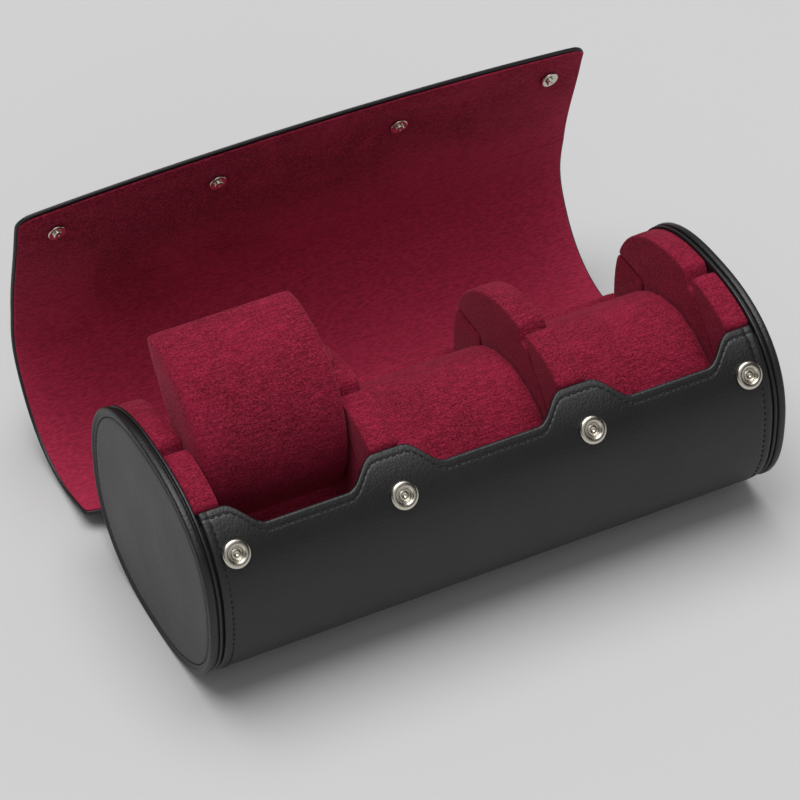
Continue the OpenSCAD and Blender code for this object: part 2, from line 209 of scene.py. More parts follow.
def make_piece(name, points, faces, finish):
    """A smooth-shaded mesh object from points in mm, with its faces turned outward."""
    mesh = bpy.data.meshes.new(name)
    mesh.from_pydata((np.asarray(points, float) / 1000).tolist(), [], [list(map(int, f)) for f in faces])
    work = bmesh.new()
    work.from_mesh(mesh)
    bmesh.ops.remove_doubles(work, verts=work.verts, dist=1e-7)
    bmesh.ops.recalc_face_normals(work, faces=work.faces)
    work.to_mesh(mesh)
    work.free()
    mesh.polygons.foreach_set("use_smooth", [True] * len(mesh.polygons))
    mesh.materials.append(finish)
    made = bpy.data.objects.new(name, mesh)
    bpy.context.scene.collection.objects.link(made)
    return made


def grid_faces(rows, cols, first=0):
    """Four-cornered faces between the points of a grid."""
    index = first + np.arange(rows * cols).reshape(rows, cols)
    quads = np.stack([index[:-1, :-1], index[1:, :-1], index[1:, 1:], index[:-1, 1:]], -1)
    return quads.reshape(-1, 4).tolist()


SHARP_OVER = math.radians(55)           # steeper edges than this are not shaded smooth


def layer(name, top, under, finish):
    """A closed sheet of material between two equal grids of points, top and under."""
    rows, cols = top.shape[:2]
    count = rows * cols
    index = np.arange(count).reshape(rows, cols)
    rim = list(index[0, :]) + list(index[1:, -1]) + list(index[-1, -2::-1]) + list(index[-2:0:-1, 0])
    faces = grid_faces(rows, cols) + grid_faces(rows, cols, count)
    faces += [(a, b, b + count, a + count) for a, b in zip(rim, rim[1:] + rim[:1])]
    made = make_piece(name, np.concatenate([top.reshape(-1, 3), under.reshape(-1, 3)]), faces, finish)
    made.data.set_sharp_from_angle(angle=SHARP_OVER)
    return made


GRAIN_DEPTH = 0.35


def black_cowhide():
    """Smooth chrome-tanned cowhide, plated and waxed: a soft satin gleam over a fine closed
    grain of cells under a millimetre wide, with wider, very shallow waves in the hide."""
    made, tree, place = new_finish("black_cowhide")
    # Grain cells are 0.9 mm wide, so their scale is 1 / 0.0009 m. Pores are 0.4 mm wide,
    # the hide's waves 8 mm, and patches of a slightly different black 36 mm.
    cells = add(tree, "ShaderNodeTexVoronoi", {"Vector": place, "Scale": 1100.0, "Smoothness": 0.6},
                feature="SMOOTH_F1")
    pores = add(tree, "ShaderNodeTexNoise", {"Vector": place, "Scale": 2400.0, "Detail": 2.0})
    waves = add(tree, "ShaderNodeTexNoise", {"Vector": place, "Scale": 130.0, "Detail": 3.0})
    patches = add(tree, "ShaderNodeTexNoise", {"Vector": place, "Scale": 28.0, "Detail": 3.0})
    tone = add(tree, "ShaderNodeMix", {"Factor": patches, "A": linear("#0c0c0d"), "B": linear("#131315")},
               data_type="RGBA")
    gloss = add(tree, "ShaderNodeMapRange", {"Value": patches, "From Min": 0.3, "From Max": 0.7,
                                             "To Min": 0.42, "To Max": 0.5})
    wide = add(tree, "ShaderNodeBump", {"Height": waves, "Strength": 0.14, "Distance": 0.0006})
    grain = add(tree, "ShaderNodeBump", {"Height": cells, "Strength": GRAIN_DEPTH, "Distance": 0.00025,
                                         "Normal": wide})
    fine = add(tree, "ShaderNodeBump", {"Height": pores, "Strength": GRAIN_DEPTH * 0.6,
                                        "Distance": 0.0001, "Normal": grain})
    skin = add(tree, "ShaderNodeBsdfPrincipled", {"Base Color": tone, "Roughness": gloss, "IOR": 1.5,
                                                  "Coat Weight": 0.06, "Coat Roughness": 0.35,
                                                  "Normal": fine})
    add(tree, "ShaderNodeOutputMaterial", {"Surface": skin})
    return made


cowhide = black_cowhide()


def edge_fall(x):
    """How far the front edge lies below its tabs, along the case, in mm."""
    x = np.asarray(x, float)
    fall = np.zeros_like(x)
    for start, end in TROUGHS:
        inside = np.clip(np.minimum(x - start, end - x) / TAB_SLOPE, 0, 1)
        fall = np.maximum(fall, TAB_RISE * (1 - np.cos(math.pi * inside)) / 2)
    return fall


def angle_below(distance):
    """Arc angle of a point that lies a distance down the front panel from the tabs' edge."""
    angles = np.linspace(TAB_ANGLE - 12, TAB_ANGLE + 60, 1200)
    n = outward(TAB_ANGLE + 10)
    down = np.array([-n[1], n[0]])
    along = (oval(angles) - oval(TAB_ANGLE)) @ down
    order = np.argsort(along)
    return np.interp(distance, along[order], angles[order])


def edge_columns():
    """Places along the case at which the front edge is drawn, close where it curves."""
    spots = list(np.arange(-104.0, 104.1, 2.0))
    for start, end in TROUGHS:
        spots += list(np.linspace(start, start + TAB_SLOPE, 11))
        spots += list(np.linspace(end - TAB_SLOPE, end, 11))
    spots = sorted(spot for spot in spots if abs(spot) < 101)
    kept = [spots[0]]
    for spot in spots[1:]:
        if spot - kept[-1] > 0.6:
            kept.append(spot)
    return np.array(kept)


# The hide is drawn as rows of points across the section, one row for each place along the
# case: up the turned hem, over the edge, and round under the case to the hinge.
EDGE_ROUND = 1.1                        # radius of the turned edge
STITCH_IN = 3.2                         # stitches below the edge and in from both ends
DIP_DEPTH, DIP_HALF = 0.2, 0.45         # the groove that the stitches pull: its depth, half its width
# The turned hem, as (depth under the outer face, distance below the edge): its bare face
# inside the case, and its face against the shell.
HEM_INSIDE = ((3.55, 3.2), (3.55, 0.9), (3.45, 0.35), (3.2, 0.1), (2.4, 0.0), (1.7, 0.0))
HEM_ON_SHELL = ((3.1, 3.2), (3.1, 1.2), (3.0, 0.8), (2.6, 0.7), (2.2, 0.7), (1.9, 0.7))
# Places close to both ends of the leather, and how far the hide is pressed in there: a
# groove under the stitches and a rounded end.
end_steps = np.array([101.6, 102.2, 102.7, 103.0, 103.3, 103.6, 103.9, 104.3, 104.9, 105.5, 105.9,
                      106.25, 106.5, 106.68, 106.78, 106.8])
end_sink = np.array([0, 0, 0.02, 0.08, 0.16, 0.2, 0.16, 0.08, 0.0, 0, 0.04, 0.16, 0.32, 0.55, 0.85, 1.2])
middle_x = edge_columns()
body_x = np.concatenate([-end_steps[::-1], middle_x, end_steps])
body_sink = np.concatenate([end_sink[::-1], np.zeros(len(middle_x)), end_sink])
edge_angle = angle_below(edge_fall(body_x))

rows_top, rows_under = [], []
down_steps = np.array([1.2, 1.7, 2.2, 2.6, 2.9, 3.2, 3.5, 3.8, 4.2, 4.9, 6.0, 8.0, 10.0])
stitch_dip = DIP_DEPTH * np.exp(-((down_steps - STITCH_IN) / DIP_HALF) ** 2)
for x, sink, angle in zip(body_x, body_sink, edge_angle):
    n, p = outward(angle), oval(angle)
    down = np.array([-n[1], n[0]])
    turned = [p - n * depth + down * below for depth, below in HEM_INSIDE]
    for a in np.linspace(90, 10, 7):
        depth = EDGE_ROUND * (1 - math.cos(math.radians(a)))
        below = EDGE_ROUND * (1 - math.sin(math.radians(a)))
        turned.append(p - n * (depth + sink) + down * below)
    near_t = angle_below(edge_fall(x) + down_steps)
    near = oval(near_t) - outward(near_t) * (stitch_dip + sink)[:, None]
    far_t = np.linspace(near_t[-1], BODY_END, 92)[1:]
    far = oval(far_t) - outward(far_t) * sink
    top = np.concatenate([turned, near, far])
    inner_t = np.concatenate([near_t, far_t])
    inner = oval(inner_t) - outward(inner_t) * LEATHER_T
    tuck = [p - n * depth + down * below for depth, below in HEM_ON_SHELL]
    tuck += [p - n * LEATHER_T + down * below for below in np.linspace(0.75, 1.15, 7)]
    rows_top.append(section_points(x, top))
    rows_under.append(section_points(x, np.concatenate([tuck, inner])))
top, under = on_table(np.array(rows_top)), np.array(rows_under)
under[..., 2] = np.maximum(under[..., 2], LEATHER_T)
body_skin = layer("body_skin", top, under, cowhide)
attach(body_skin, "case")
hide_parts("body_leather")

waxed, tree, place = new_finish("waxed_thread")
# Waxed polyester thread, 0.5 mm thick: black with a slight gleam, and a twist of about
# one turn to a millimetre.
twist = add(tree, "ShaderNodeTexWave", {"Vector": place, "Scale": 900.0, "Distortion": 1.0},
            bands_direction="DIAGONAL")
turn = add(tree, "ShaderNodeBump", {"Height": twist, "Strength": 0.4, "Distance": 0.0001})
thread = add(tree, "ShaderNodeBsdfPrincipled", {"Base Color": linear("#0b0b0c"), "Roughness": 0.55,
                                                "Normal": turn})
add(tree, "ShaderNodeOutputMaterial", {"Surface": thread})

STITCH_PITCH, STITCH_LENGTH, THREAD_R = 2.5, 1.8, 0.27


def run_of(line):
    """Distance of each point of a line from its first one, measured along the line."""
    return np.concatenate([[0], np.cumsum(np.linalg.norm(np.diff(line, axis=0), axis=1))])


def at_run(where, run, line):
    """The value of a line of points, or of normals, at a distance along its run."""
    return np.array([np.interp(where, run, line[:, i]) for i in range(line.shape[1])])


def stitches(name, rows, radius=THREAD_R):
    """Rows of short stitches, each a bent capsule that dives into the work at both ends.
    A row is a list of (point, outward normal) pairs along the seam."""
    points, faces = [], []
    around, lengthwise = 6, 5
    for row in rows:
        spots, normals = (np.asarray(part, float) for part in zip(*row))
        run = run_of(spots)
        whole = max(1, int(run[-1] / STITCH_PITCH))
        space = run[-1] / whole
        for s in range(whole):
            middle = (s + 0.5) * space
            first = len(points)
            for k in range(lengthwise):
                share = k / (lengthwise - 1) * 2 - 1
                where = middle + share * STITCH_LENGTH / 2
                p, n = at_run(where, run, spots), at_run(where, run, normals)
                n /= np.linalg.norm(n)
                ahead = at_run(where + 0.2, run, spots) - at_run(where - 0.2, run, spots)
                along = ahead / max(np.linalg.norm(ahead), 1e-9)
                side = np.cross(n, along)
                lift = radius * (0.45 - 1.5 * share ** 4)       # dives at both ends
                size = radius * (1 - 0.45 * share ** 4)         # and is pulled thin there
                for a in range(around):
                    turn_by = 2 * math.pi * a / around
                    points.append(p + n * (lift + size * math.sin(turn_by)) + side * size * math.cos(turn_by))
            for k in range(lengthwise - 1):
                for a in range(around):
                    b = (a + 1) % around
                    low = first + k * around
                    faces.append((low + a, low + b, low + around + b, low + around + a))
            faces.append(tuple(range(first, first + around)))
            faces.append(tuple(range(first + (lengthwise - 1) * around, first + lengthwise * around)))
    return make_piece(name, points, faces, waxed)


def over_oval(x, angle, out=0.0):
    """A point on the oval at x with its outward normal."""
    n = outward(angle)
    p = oval(angle) + n * out
    return (x, p[0], p[1]), (0.0, n[0], n[1])


STITCH_END = LEATHER_HALF - STITCH_IN
STITCH_SINK, TRACE_STEP = -0.14, 0.8    # the thread lies in the groove that it pulls
STANDS_FROM, STANDS_TO = 256, 284       # arc angles of the flat that stands on the table
stitch_x = np.arange(-STITCH_END, STITCH_END + 0.01, TRACE_STEP)
stitch_rows = [[over_oval(x, float(angle_below(edge_fall(x) + STITCH_IN)), STITCH_SINK) for x in stitch_x]]
for side_x in (-STITCH_END, STITCH_END):
    for low, high in ((float(angle_below(STITCH_IN)) + 2, STANDS_FROM), (STANDS_TO, BODY_END - 5)):
        stitch_rows.append([over_oval(side_x, a, STITCH_SINK) for a in np.arange(low, high, TRACE_STEP)])
body_stitches = stitches("body_stitches", stitch_rows)
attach(body_stitches, "case")

# ---- Fibreboard ----
# Stiff grey board, pressed from recycled fibre, gives the body, the end caps, the
# dividers and the flap their shape. Leather and suede hide it but for cut edges.


def wrap_angles(x, below, last, count):
    """A row of arc angles for each x, from an edge that lies a distance below the leather's
    front edge to a last angle at the hinge."""
    first = angle_below(edge_fall(x) + below)[:, None]
    return first + (last - first) * np.linspace(0, 1, count)


def grey_fibreboard():
    """Calendered board: matt, even grey with darker and lighter fibres a millimetre long."""
    made, tree, place = new_finish("grey_fibreboard")
    fibres = add(tree, "ShaderNodeTexNoise", {"Vector": place, "Scale": 900.0, "Detail": 4.0})
    tone = add(tree, "ShaderNodeMix", {"Factor": fibres, "A": linear("#837e75"), "B": linear("#9b968c")},
               data_type="RGBA")
    rough = add(tree, "ShaderNodeBump", {"Height": fibres, "Strength": 0.3, "Distance": 0.0002})
    board = add(tree, "ShaderNodeBsdfPrincipled", {"Base Color": tone, "Roughness": 0.85,
                                                   "Normal": rough})
    add(tree, "ShaderNodeOutputMaterial", {"Surface": board})
    return made


fibreboard = grey_fibreboard()
SHELL_HALF, SHELL_BELOW = 104.0, 1.3    # half its length, and its edge below the leather's
GLUE_T, FLAT_T = 0.02, 0.6              # glue on its outside, and its thickness on the table
shell_x = np.concatenate([[-SHELL_HALF], body_x[np.abs(body_x) < SHELL_HALF - 0.1], [SHELL_HALF]])
shell_angles = wrap_angles(shell_x, SHELL_BELOW, BODY_END, 90)
shell_top = oval(shell_angles) - outward(shell_angles) * (LEATHER_T + GLUE_T)
shell_under = oval(shell_angles) - outward(shell_angles) * (LEATHER_T + SHELL_T - 0.1)
shell_top[..., 1] = np.maximum(shell_top[..., 1], LEATHER_T + GLUE_T)
shell_under[..., 1] = np.maximum(shell_under[..., 1], LEATHER_T + FLAT_T)
body_board = layer("body_board", section_points(shell_x[:, None], shell_top),
                   section_points(shell_x[:, None], shell_under), fibreboard)
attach(body_board, "case")
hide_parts("body_shell")


def dress(node, finish):
    """Gives a carried-over solid a finish in place of its plain colour."""
    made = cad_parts[node]
    made.data.materials.clear()
    made.data.materials.append(finish)


for node in ("end_cap_board_left", "end_cap_board_right", "divider_boards"):
    dress(node, fibreboard)

# ---- End caps ----
# Each end is an oval board in a cup of the same cowhide. The leather is turned round a
# cord at the rim, which leaves a raised bead with a ring of stitches inside it. Past a
# dark groove its flange is tucked under the body's leather.

INNER_END = 107.35                      # where a cap meets the padding
# The cap's section from the face's edge to its back, as (distance from the case's middle,
# distance inside the oval): stitch groove, bead, groove, second bead, flange.
cap_profile = (
    (111.90, 7.0), (111.88, 5.2), (111.82, 4.4), (111.72, 4.0), (111.50, 3.6), (111.42, 3.4),
    (111.52, 3.2), (111.76, 2.9), (111.86, 2.65), (111.76, 2.4), (111.66, 2.25), (111.84, 2.0),
    (112.10, 1.7), (112.24, 1.35), (112.26, 1.0), (112.16, 0.62), (111.92, 0.3), (111.55, 0.08),
    (111.1, 0.0), (110.5, 0.0), (110.0, 0.06), (109.6, 0.24), (109.36, 0.55), (109.28, 0.95),
    (109.22, 1.2), (108.88, 1.2), (108.82, 0.95), (108.72, 0.6), (108.5, 0.38), (108.15, 0.3),
    (107.8, 0.38), (107.55, 0.62), (107.42, 1.0), (107.38, 1.44), (107.2, 1.5), (105.2, 1.52),
    (104.9, 1.6), (104.9, 3.0), (105.2, 3.1), (INNER_END, 3.15), (INNER_END, 7.0))
FACE_X, FACE_IN, FACE_DOME = 111.90, 7.0, 0.14      # the flat face, its edge and how far it swells
RING_IN, RING_X, RING_THREAD_R = 3.4, 111.5, 0.24   # the ring of stitches
FLANGE_FROM, FLANGE_TO = 128, 326                   # arc angles at which the body covers the flange
cap_angles = np.arange(0, 360, 2.0)
under_body = (cap_angles > FLANGE_FROM) & (cap_angles < FLANGE_TO)
face_scales = (0.0, 0.12, 0.25, 0.4, 0.55, 0.7, 0.82, 0.91, 0.97)


def tube_faces(rows, cols):
    """Faces between closed rings of points, each ring with as many points as the next."""
    index = np.arange(rows * cols).reshape(rows, cols)
    after = np.roll(index, -1, axis=1)
    return np.stack([index[:-1], index[1:], after[1:], after[:-1]], -1).reshape(-1, 4).tolist()


def end_cap(word, side):
    """One cap from the middle of its face, round the rim, to the middle of its back."""
    face_edge = oval(cap_angles, -FACE_IN) - [0, AXIS_Z]
    rings = []
    for scale in face_scales:
        x = FACE_X + FACE_DOME * (1 - scale ** 3)
        rings.append(section_points(side * x, face_edge * scale + [0, AXIS_Z]))
    for x, inside in cap_profile:
        tucked = np.where(under_body, x, max(x, INNER_END))
        rings.append(section_points(side * tucked, oval(cap_angles, -inside)))
    for scale in face_scales[::-1]:
        rings.append(section_points(side * INNER_END, face_edge * scale + [0, AXIS_Z]))
    rings = on_table(np.array(rings))
    made = make_piece(f"end_cap_{word}", rings.reshape(-1, 3), tube_faces(*rings.shape[:2]), cowhide)
    work = bmesh.new()
    work.from_mesh(made.data)
    bmesh.ops.dissolve_degenerate(work, dist=1e-6, edges=work.edges)
    work.to_mesh(made.data)
    work.free()
    return made


for side, word in ((-1, "left"), (1, "right")):
    cap = end_cap(word, side)
    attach(cap, "case")
    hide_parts(f"end_cap_leather_{word}")
    ring = []
    for angle in np.arange(0, 361, 1.0):
        y, z = oval(angle, -RING_IN)
        ring.append(((side * RING_X, y, max(z, 0.3)), (side, 0.0, 0.0)))
    ring_stitches = stitches(f"cap_stitches_{word}", [ring], RING_THREAD_R)
    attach(ring_stitches, "case")

# ---- Lining of the body ----
# A sheet of wine-red microsuede is glued inside the shell, up to the turned leather edge.
# Microsuede is a knitted polyester with a brushed nap, which shows soft patches where a
# hand has stroked it and fine ribs along the case.

# The last colour is the flap's lighter nap, which its stroked patches and its painted light reach.
NAP_DARK, NAP_BODY, NAP_LIGHT, NAP_STROKED_PAINTED_LIGHT = "#5e0618", "#7a0f2a", "#a22c48", "#a62a48"


def wine_microsuede(name, patch_scale, stroked_with_painted_light=False):
    """Brushed polyester microsuede: no gloss, a velvety sheen at grazing angles, fine ribs
    of the knit along the case, tufts of fibres, and patches that a hand has stroked. On the
    flap the colour is also painted lighter towards its low end, as painted light, and
    towards its right end."""
    made, tree, place = new_finish(name)
    # The knit's rows are 0.7 mm wide, so the noise's scale is 1 / 0.0007 m. It is squeezed
    # along the case: a row shows for 5 mm, and for 2 mm where the nap has been stroked.
    squeeze = 0.3 if stroked_with_painted_light else 0.14
    stretched = add(tree, "ShaderNodeMapping", {"Vector": place, "Scale": (squeeze, 1.0, 1.0)})
    ribs = add(tree, "ShaderNodeTexNoise", {"Vector": stretched, "Scale": 1500.0, "Detail": 1.0,
                                            "Roughness": 0.4})
    # Tufts of fibres half a millimetre wide. Single fibres are far too fine to show.
    combed = add(tree, "ShaderNodeMapping", {"Vector": place, "Scale": (0.6, 1.0, 1.0)})
    fibres = add(tree, "ShaderNodeTexNoise", {"Vector": combed, "Scale": 2000.0, "Detail": 3.0,
                                              "Roughness": 0.65})
    # Stroked patches: 22 mm across on the padding and 33 mm on the flap.
    brushed = add(tree, "ShaderNodeTexNoise", {"Vector": place, "Scale": patch_scale, "Detail": 3.0,
                                               "Roughness": 0.55, "Distortion": 0.6})
    patch = add(tree, "ShaderNodeMapRange", {"Value": brushed, "From Min": 0.36, "From Max": 0.64})
    patches_and_flap_painted_light = patch
    if stroked_with_painted_light:
        # Painted light: the flap's colour is painted lighter towards the hinge, where its low part faces up
        # to the lamp. It is also painted lighter towards the right end.
        spot = add(tree, "ShaderNodeSeparateXYZ", {"Vector": place}).outputs
        low = add(tree, "ShaderNodeMapRange", {"Value": spot["Z"], "From Min": 0.085, "From Max": 0.025,
                                               "To Min": -0.25, "To Max": 1.2})
        aside = add(tree, "ShaderNodeMapRange", {"Value": spot["X"], "From Min": -0.03, "From Max": 0.09,
                                                 "To Min": -0.1, "To Max": 0.55})
        both_ways = add(tree, "ShaderNodeMath", {0: low, 1: aside})
        half_patch = add(tree, "ShaderNodeMath", {0: patches_and_flap_painted_light, 1: 0.5}, operation="MULTIPLY")
        patches_and_flap_painted_light = add(tree, "ShaderNodeMath", {0: half_patch, 1: both_ways}, use_clamp=True)
    # On the flap the mix runs towards its lighter colour where the light is painted in.
    nap = add(tree, "ShaderNodeMix", {"Factor": patches_and_flap_painted_light, "A": linear(NAP_DARK),
                                      "B": linear(NAP_STROKED_PAINTED_LIGHT if stroked_with_painted_light else NAP_BODY)}, data_type="RGBA")
    worn = add(tree, "ShaderNodeMapRange", {"Value": fibres, "From Min": 0.39, "From Max": 0.66,
                                            "To Min": 0.0, "To Max": 0.9})
    tips = add(tree, "ShaderNodeMix", {"Factor": worn, "A": nap, "B": linear(NAP_LIGHT)},
               data_type="RGBA")
    shade = add(tree, "ShaderNodeMapRange", {"Value": ribs, "From Min": 0.34, "From Max": 0.66,
                                             "To Min": 0.78, "To Max": 1.14})
    ribbed = add(tree, "ShaderNodeMix", {"Factor": 1.0, "A": tips, "B": shade}, data_type="RGBA",
                 blend_type="MULTIPLY")
    rib_bump = add(tree, "ShaderNodeBump", {"Height": ribs, "Strength": 0.45, "Distance": 0.0003})
    bump = add(tree, "ShaderNodeBump", {"Height": fibres, "Strength": 0.65, "Distance": 0.0003,
                                        "Normal": rib_bump})
    cloth = add(tree, "ShaderNodeBsdfPrincipled", {"Base Color": ribbed, "Roughness": 0.95,
                                                   "Specular IOR Level": 0.15, "Sheen Weight": 0.5,
                                                   "Sheen Roughness": 0.4,
                                                   "Sheen Tint": linear("#cc6478"), "Normal": bump})
    add(tree, "ShaderNodeOutputMaterial", {"Surface": cloth})
    return made


LINING_BELOW = 0.9                      # its edge below the leather's
HEM_SHARE, ON_HEM, ON_SHELL = 0.035, 3.62, 3.3
microsuede = wine_microsuede("wine_microsuede", 45.0)
lining_x = np.concatenate([[-107.0, -105.5], body_x[np.abs(body_x) < 104.5], [105.5, 107.0]])
LINING_ROWS = 80
lining_angles = wrap_angles(lining_x, LINING_BELOW, BODY_END - 1.0, LINING_ROWS)
# Its first 3 mm lie on the turned hem, so the glued face stands a little further in there.
lining_depth = np.where(np.linspace(0, 1, LINING_ROWS) < HEM_SHARE, ON_HEM, ON_SHELL)
lining_top = oval(lining_angles) - outward(lining_angles) * WALL_T
lining_under = oval(lining_angles) - outward(lining_angles) * lining_depth[None, :, None]
body_lining = layer("body_suede", section_points(lining_x[:, None], lining_top),
                    section_points(lining_x[:, None], lining_under), microsuede)
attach(body_lining, "case")
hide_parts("body_lining")

# ---- Padded walls ----
# Four walls of foam, covered in microsuede, part the wells and pad the two ends. Each is
# sewn from three blocks on a stiff board, with a rounded welt along both edges and a
# nick in the rim where two blocks meet.

WALLS = ((-107.3, -98.0), (-41.9, -30.9), (30.9, 41.9), (98.0, 107.3))
RIM_INSET, SEAM = 1.0, 0.4
HINGE_A = -30.0                         # arc angle of the hinge
BODY_INSET = WALL_T + 0.2               # the padding lies inside all the body's layers


def rim_depth(angle):
    """How far the padding's rim lies inside the oval: deeper at the hinge, under the flap."""
    share = np.clip((np.asarray(angle, float) - HINGE_A) / 18, 0, 1)
    return BODY_INSET * (1 - share) + RIM_INSET * share


def filled_outline():
    """Section of all that fills the case, as (y, z) points from the middle, mm."""
    rim_angles = np.arange(TAB_ANGLE - 1, HINGE_A, -1.5)
    rim = oval(rim_angles, -rim_depth(rim_angles))
    low_angles = np.arange(BODY_END, TAB_ANGLE, -1.5)
    low = oval(low_angles, -BODY_INSET)
    return np.concatenate([rim, low]) - [0, AXIS_Z]


def clipped(outline, point, normal):
    """The part of a convex-enough outline on the side of a line that its normal points to."""
    side = (outline - point) @ np.asarray(normal, float)
    kept = []
    for k in range(len(outline)):
        a, b, sa, sb = outline[k], outline[(k + 1) % len(outline)], side[k], side[(k + 1) % len(outline)]
        if sa >= 0:
            kept.append(a)
        if (sa >= 0) != (sb >= 0):
            kept.append(a + (b - a) * sa / (sa - sb))
    return np.array(kept)


def respaced(outline, step):
    """The same closed outline with its points an even step apart."""
    closed = np.concatenate([outline, outline[:1]])
    run = run_of(closed)
    count = max(12, int(round(run[-1] / step)))
    spots = np.linspace(0, run[-1], count, endpoint=False)
    return np.stack([np.interp(spots, run, closed[:, i]) for i in (0, 1)], -1)


def softened(outline, times):
    """Rounds the outline's corners by sharing each point's place with its neighbours."""
    for _ in range(times):
        outline = (np.roll(outline, 1, axis=0) + 2 * outline + np.roll(outline, -1, axis=0)) / 4
    return outline


def outline_normals(outline):
    """Unit normals that point out of a closed outline."""
    along = np.roll(outline, -1, axis=0) - np.roll(outline, 1, axis=0)
    n = np.stack([along[:, 1], -along[:, 0]], -1)
    n /= np.maximum(np.linalg.norm(n, axis=1, keepdims=True), 1e-9)
    area = (outline[:, 0] * np.roll(outline[:, 1], -1) - np.roll(outline[:, 0], -1) * outline[:, 1]).sum()
    return n if area > 0 else -n


SEAM_LEAN = math.radians(48.7)          # the front seam's slope
BACK_Y, BACK_Z = 28.0, 15.0             # the back block's front face and top, from the middle
OUTLINE_STEP = 0.5
seam_point = np.array([-1.0, CASE_H / 2 - RIM_INSET])
seam_normal = np.array([math.sin(SEAM_LEAN), -math.cos(SEAM_LEAN)])
outline = filled_outline()
front_block = clipped(outline, seam_point - seam_normal * SEAM / 2, -seam_normal)
behind_seam = clipped(outline, seam_point + seam_normal * SEAM / 2, seam_normal)
back_block = clipped(behind_seam, np.array([BACK_Y + SEAM / 2, 0]), (1, 0))
back_block = clipped(back_block, np.array([0, BACK_Z - SEAM / 2]), (0, -1))


def plate_outline():
    """The centre plate of a wall: all behind the front seam, but for the back block's corner."""
    plate = respaced(behind_seam, OUTLINE_STEP)
    cut = (plate[:, 0] > BACK_Y - SEAM / 2) & (plate[:, 1] < BACK_Z + SEAM / 2)
    start = int(np.argmax(cut))
    plate = np.roll(plate, -start, axis=0)[~np.roll(cut, -start)]
    return np.concatenate([plate, [[BACK_Y - SEAM / 2, BACK_Z + SEAM / 2]]])


NICK_TIP, NICK_FRONT, NICK_BACK = np.array([-1.0, 36.0]), np.array([-4.75, 43.0]), np.array([2.75, 43.0])
NICK_REACH = 8.0


def nicked(section, edge, way):
    """Cuts one side of the rim's nick out of a block's corner; way is 1 behind it, -1 in front."""
    n = np.array([edge[1] - NICK_TIP[1], NICK_TIP[0] - edge[0]])
    n *= way / np.linalg.norm(n)
    side = (section - NICK_TIP) @ n
    near = (np.abs(section[:, 0] - NICK_TIP[0]) < NICK_REACH) & (section[:, 1] > NICK_TIP[1] - 0.5)
    cut = near & (side < 0)
    moved = section.copy()
    moved[cut] -= side[cut][:, None] * n
    return moved


plate_section = nicked(plate_outline(), NICK_BACK, 1)
front_section = nicked(respaced(front_block, OUTLINE_STEP), NICK_FRONT, -1)
back_section = respaced(back_block, OUTLINE_STEP)
WELT_IN, WELT_DEPTH, PAD_ROUND = 1.5, 0.22, 0.9
PAD_SWELL = 0.12                        # the padding stands proud between its welts


def extruded(name, section, start, places, finish):
    """A closed outline run along the case from start; each place is (distance, how far the
    outline stands outside the section there)."""
    normals = outline_normals(section)
    points = np.array([section_points(start + along, section + normals * out + [0, AXIS_Z])
                       for along, out in places])
    rows, cols = points.shape[:2]
    faces = tube_faces(rows, cols) + [tuple(range(cols)), tuple(range((rows - 1) * cols, rows * cols))]
    return make_piece(name, points.reshape(-1, 3), faces, finish)


def padded_block(name, section, start, end, times=10):
    """Extrudes a soft-cornered outline along the case, with rounded welts at both ends."""
    length = end - start
    half = [(PAD_ROUND * (1 - math.sin(math.radians(a))), -PAD_ROUND * (1 - math.cos(math.radians(a))))
            for a in (90, 68, 45, 25, 8)]
    half += [(WELT_IN - 0.25, -0.04), (WELT_IN, -WELT_DEPTH), (WELT_IN + 0.25, -0.02), (WELT_IN + 0.9, 0.04)]
    places = half + [(length / 2, PAD_SWELL)] + [(length - along, out) for along, out in half[::-1]]
    return extruded(name, softened(respaced(section, 0.7), times), start, places, microsuede)


for number, (start, end) in enumerate(WALLS, 1):
    for word, section in (("plate", plate_section), ("front", front_section), ("back", back_section)):
        block = padded_block(f"wall_{number}_{word}", section, start, end)
        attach(block, "case")
        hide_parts(f"divider_{number}_{word}")

# ---- Foam beds ----
# A block of foam in a microsuede cover fills the lower half of each well, and the
# cushions rest on it.

WELLS = [(before[1], after[0]) for before, after in zip(WALLS, WALLS[1:])]
BED_LEVEL = -4.4
bed_section = respaced(clipped(outline, np.array([0, BED_LEVEL]), (0, -1)), 1.0)
for number, (start, end) in enumerate(WELLS, 1):
    bed = padded_block(f"bed_cover_{number}", bed_section, start, end, times=6)
    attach(bed, "case")
    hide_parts(f"bed_{number}")

# ---- Cushions ----
# Three D-shaped rolls of moulded foam in microsuede covers, which a watch is strapped
# round. The first one is tipped up on its front edge, the others sit in their wells.

CUSHION_W, CUSHION_H, CUSHION_EDGE_R, CUSHION_BACK = 74.0, 27.0, 2.5, 1.0
CUSHION_Z = BED_LEVEL + 0.7
CUSHION_GAP = 0.3                       # clear of the wall at each end
SIDE_ROUND, START_IN = 1.6, 0.3         # rounding of the ends, and how far in the cover starts
# The cover is a cloth of small even cells, blown up for a few steps of a cloth simulation.
VOXEL, PRESSURE, STUFFING_STEPS = 0.0022, 4.0, 20
SWELL_CAP = 0.0006                      # metres
RAISE_PIVOT, RAISE_ANGLE = Vector((0.0, -0.027, 0.0674)), 57.0
cushion_r = ((CUSHION_W / 2) ** 2 + CUSHION_H ** 2) / (2 * CUSHION_H)
crown_z = CUSHION_Z + CUSHION_H - cushion_r
edge_z = CUSHION_Z + CUSHION_EDGE_R
edge_turn = math.degrees(math.asin((edge_z - crown_z) / (cushion_r - CUSHION_EDGE_R)))
edge_y = (cushion_r - CUSHION_EDGE_R) * math.cos(math.radians(edge_turn))


def arc_of(y, z, r, start, end, step):
    """Points on an arc round (y, z), between two angles in degrees."""
    turns = np.radians(np.linspace(start, end, max(2, int(abs(end - start) / step) + 1)))
    return np.stack([y + r * np.cos(turns), z + r * np.sin(turns)], -1)


